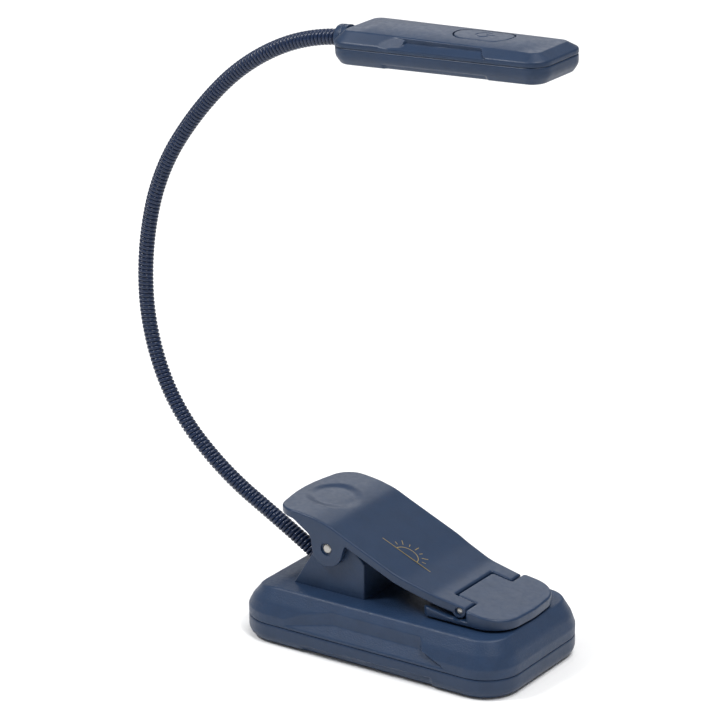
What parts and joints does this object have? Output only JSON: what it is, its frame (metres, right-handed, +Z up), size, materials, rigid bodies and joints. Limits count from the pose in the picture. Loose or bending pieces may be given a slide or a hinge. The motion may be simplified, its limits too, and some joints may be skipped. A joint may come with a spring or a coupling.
{
  "type": "clip on reading lamp",
  "caption": "Small rechargeable reading lamp: a sprung clip base with a thumb lever and swivel jaw, a bendable neck and a flat light bar head.",
  "frame": {"origin": "centre of the base's underside", "axes": "+X along the base towards the jaw tip, +Z up from the underside, +Y to the left when looking along +X"},
  "size_m": [0.1142, 0.0402, 0.1472],
  "materials": {
    "navy_shell": "satin",
    "navy_neck": "satin",
    "pin_steel": "satin",
    "grip_rubber": "matte",
    "cell_foil": "satin",
    "board": "satin",
    "dark_part": "matte",
    "diffuser": "satin",
    "led_face": "gloss",
    "lead_cover": "matte"
  },
  "bodies": {
    "base": {"base_cover": "navy_shell", "base_tray": "navy_shell", "base_screws": "pin_steel", "battery": "cell_foil", "charge_board": "board", "charge_socket": "pin_steel", "charge_light_pipe": "diffuser", "base_grip": "grip_rubber", "base_leads": "lead_cover", "main_pin": "pin_steel", "clamp_spring": "pin_steel", "neck_root_collar": "navy_shell", "neck_1": "navy_neck"},
    "lever": {"lever": "navy_shell", "jaw_pin": "pin_steel"},
    "jaw": {"jaw_pad": "navy_shell", "jaw_grip": "grip_rubber"},
    "neck_link_2": {"neck_2": "navy_neck"},
    "neck_link_3": {"neck_3": "navy_neck"},
    "neck_link_4": {"neck_4": "navy_neck"},
    "neck_link_5": {"neck_5": "navy_neck"},
    "neck_link_6": {"neck_6": "navy_neck"},
    "neck_link_7": {"neck_7": "navy_neck"},
    "neck_link_8": {"neck_8": "navy_neck"},
    "head": {"neck_9": "navy_neck", "head_collar": "navy_shell", "head_top": "navy_shell", "head_bottom": "navy_shell", "head_screws": "pin_steel", "led_board": "board", "leds": "led_face", "lens": "diffuser", "button_switch": "dark_part", "head_leads": "lead_cover"},
    "button": {"power_button": "navy_shell"}
  },
  "joints": [
    {"name": "lever_hinge", "type": "hinge", "parent": "base", "child": "lever", "pos_m": [-0.014, 0, 0.0245], "axis": [0, -1, 0], "range_deg": [0, 28], "stiffness_Nm_per_rad": 0.35, "springref_deg": -40.11, "deforming": ["clamp_spring"]},
    {"name": "jaw_swivel", "type": "hinge", "parent": "lever", "child": "jaw", "pos_m": [0.0204, 0, 0.0167], "axis": [0, -1, 0], "range_deg": [-10, 0]},
    {"name": "neck_fold_1", "type": "hinge", "parent": "base", "child": "neck_link_2", "pos_m": [-0.04404, 0, 0.0258], "axis": [0, 1, 0], "range_deg": [-16, 12]},
    {"name": "neck_sway_2", "type": "hinge", "parent": "neck_link_2", "child": "neck_link_3", "pos_m": [-0.0599, 0, 0.03722], "axis": [-0.6884, 0, -0.7254], "range_deg": [-14, 14]},
    {"name": "neck_fold_3", "type": "hinge", "parent": "neck_link_3", "child": "neck_link_4", "pos_m": [-0.07077, 0, 0.05334], "axis": [0, 1, 0], "range_deg": [-16, 12]},
    {"name": "neck_sway_4", "type": "hinge", "parent": "neck_link_4", "child": "neck_link_5", "pos_m": [-0.07458, 0, 0.07246], "axis": [-0.9998, 0, -0.0175], "range_deg": [-14, 14]},
    {"name": "neck_fold_5", "type": "hinge", "parent": "neck_link_5", "child": "neck_link_6", "pos_m": [-0.07236, 0, 0.09188], "axis": [0, 1, 0], "range_deg": [-16, 12]},
    {"name": "neck_sway_6", "type": "hinge", "parent": "neck_link_6", "child": "neck_link_7", "pos_m": [-0.06443, 0, 0.10969], "axis": [-0.829, 0, 0.5592], "range_deg": [-14, 14]},
    {"name": "neck_fold_7", "type": "hinge", "parent": "neck_link_7", "child": "neck_link_8", "pos_m": [-0.05192, 0, 0.12474], "axis": [0, 1, 0], "range_deg": [-16, 12]},
    {"name": "neck_sway_8", "type": "hinge", "parent": "neck_link_8", "child": "head", "pos_m": [-0.03598, 0, 0.136], "axis": [-0.4384, 0, 0.8988], "range_deg": [-14, 14]},
    {"name": "button_press", "type": "slide", "parent": "head", "child": "button", "axis": [0.0523, 0, -0.9986], "range_m": [0, 0.0004], "stiffness_N_per_m": 700, "springref_m": -0.0004}
  ],
  "couplings": [
    {"joint": "jaw_swivel", "follows": "lever_hinge", "ratio": -0.33}
  ]
}
